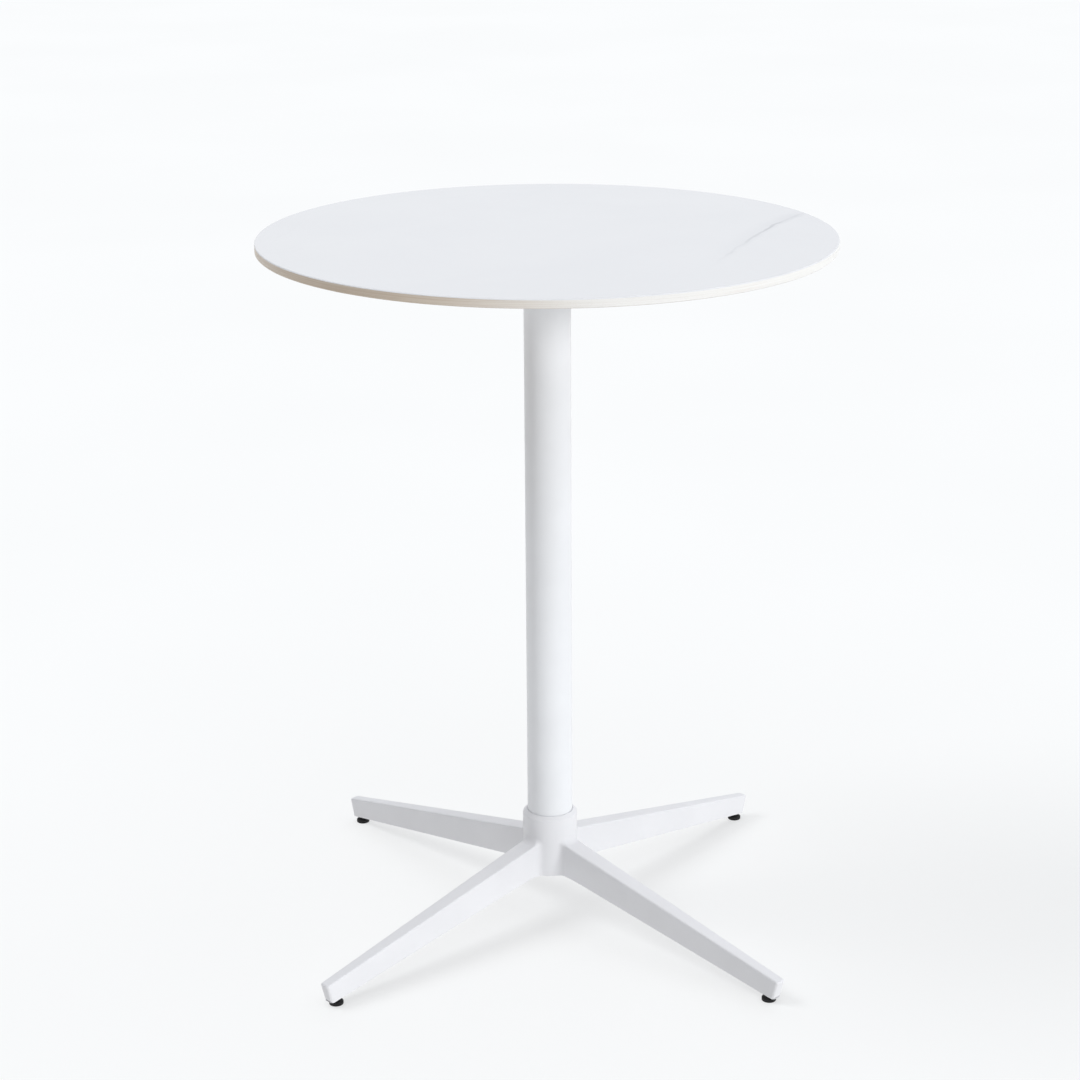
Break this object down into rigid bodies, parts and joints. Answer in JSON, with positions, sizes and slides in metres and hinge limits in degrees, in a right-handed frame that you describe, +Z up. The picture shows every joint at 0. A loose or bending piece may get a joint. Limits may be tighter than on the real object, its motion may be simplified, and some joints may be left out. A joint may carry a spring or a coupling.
{
  "type": "round pedestal table",
  "caption": "Round bar-height pedestal table: thin marble-look stone top, slim white tube column, cast star base with slanted arms and black screw-in levelling glides.",
  "frame": {"origin": "on the floor, under the centre of the column", "axes": "+Z up along the column; the four arms point along the diagonals between the X and Y axes; the pictured front faces -Y"},
  "size_m": [0.7999, 0.8, 1.016],
  "materials": {
    "marble_stone": "polished",
    "column_white": "satin",
    "base_white": "satin",
    "plate_white": "satin",
    "plain_steel": "satin",
    "zinc_steel": "satin",
    "brass_sleeve": "satin",
    "liner_foam": "matte",
    "stem_black": "satin",
    "pad_black": "matte"
  },
  "bodies": {
    "table": {"tabletop_slab": "marble_stone", "slab_inserts": "brass_sleeve", "top_liner": "liner_foam", "top_plate": "plate_white", "plate_screws": "zinc_steel", "plate_washers": "zinc_steel", "column_tube": "column_white", "column_spigot": "plain_steel", "tie_rod": "zinc_steel", "rod_locknut": "zinc_steel", "rod_nut": "zinc_steel", "rod_washer": "zinc_steel", "spring_washer": "zinc_steel", "base_casting": "base_white", "glide_inserts": "zinc_steel"},
    "pad_rear_right": {"glide_pad_rear_right": "pad_black"},
    "stem_rear_right": {"glide_stem_rear_right": "stem_black"},
    "pad_rear_left": {"glide_pad_rear_left": "pad_black"},
    "stem_rear_left": {"glide_stem_rear_left": "stem_black"},
    "pad_front_left": {"glide_pad_front_left": "pad_black"},
    "stem_front_left": {"glide_stem_front_left": "stem_black"},
    "pad_front_right": {"glide_pad_front_right": "pad_black"},
    "stem_front_right": {"glide_stem_front_right": "stem_black"}
  },
  "joints": [
    {"name": "travel_rear_right", "type": "slide", "parent": "table", "child": "pad_rear_right", "axis": [0, 0, 1], "range_m": [-0.00875, 0.0025]},
    {"name": "turn_rear_right", "type": "hinge", "parent": "pad_rear_right", "child": "stem_rear_right", "pos_m": [0.29981, 0.29981, 0.008], "axis": [0, 0, 1], "range_deg": [-2520, 720]},
    {"name": "travel_rear_left", "type": "slide", "parent": "table", "child": "pad_rear_left", "axis": [0, 0, 1], "range_m": [-0.00875, 0.0025]},
    {"name": "turn_rear_left", "type": "hinge", "parent": "pad_rear_left", "child": "stem_rear_left", "pos_m": [-0.29981, 0.29981, 0.008], "axis": [0, 0, 1], "range_deg": [-2520, 720]},
    {"name": "travel_front_left", "type": "slide", "parent": "table", "child": "pad_front_left", "axis": [0, 0, 1], "range_m": [-0.00875, 0.0025]},
    {"name": "turn_front_left", "type": "hinge", "parent": "pad_front_left", "child": "stem_front_left", "pos_m": [-0.29981, -0.29981, 0.008], "axis": [0, 0, 1], "range_deg": [-2520, 720]},
    {"name": "travel_front_right", "type": "slide", "parent": "table", "child": "pad_front_right", "axis": [0, 0, 1], "range_m": [-0.00875, 0.0025]},
    {"name": "turn_front_right", "type": "hinge", "parent": "pad_front_right", "child": "stem_front_right", "pos_m": [0.29981, -0.29981, 0.008], "axis": [0, 0, 1], "range_deg": [-2520, 720]}
  ],
  "couplings": [
    {"joint": "turn_rear_right", "follows": "travel_rear_right", "rad_per_m": 5026.5},
    {"joint": "turn_rear_left", "follows": "travel_rear_left", "rad_per_m": 5026.5},
    {"joint": "turn_front_left", "follows": "travel_front_left", "rad_per_m": 5026.5},
    {"joint": "turn_front_right", "follows": "travel_front_right", "rad_per_m": 5026.5}
  ]
}
